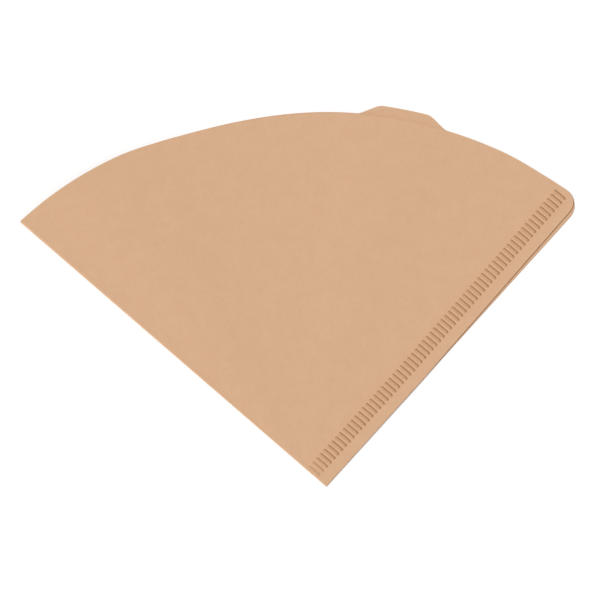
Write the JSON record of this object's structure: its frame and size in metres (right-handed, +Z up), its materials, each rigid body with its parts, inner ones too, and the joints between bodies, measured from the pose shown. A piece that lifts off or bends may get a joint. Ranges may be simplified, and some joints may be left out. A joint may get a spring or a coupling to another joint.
{
  "type": "paper coffee filter",
  "caption": "Cone coffee filter of unbleached paper, folded flat: arched rim, grip tab on the back ply, one folded edge and one crimped seam. Opens into a cone to line a dripper.",
  "frame": {"origin": "on the table, under the middle of the folded sheet's box", "axes": "+Z up from the back ply to the front ply; +Y from the tip to the rim; +X from the folded edge to the crimped seam"},
  "size_m": [0.166, 0.125, 0.0017],
  "materials": {
    "filter_paper": "unbleached, matt, with fine fibres"
  },
  "bodies": {
    "root": {"paper_filter": "filter_paper"}
  },
  "joints": []
}
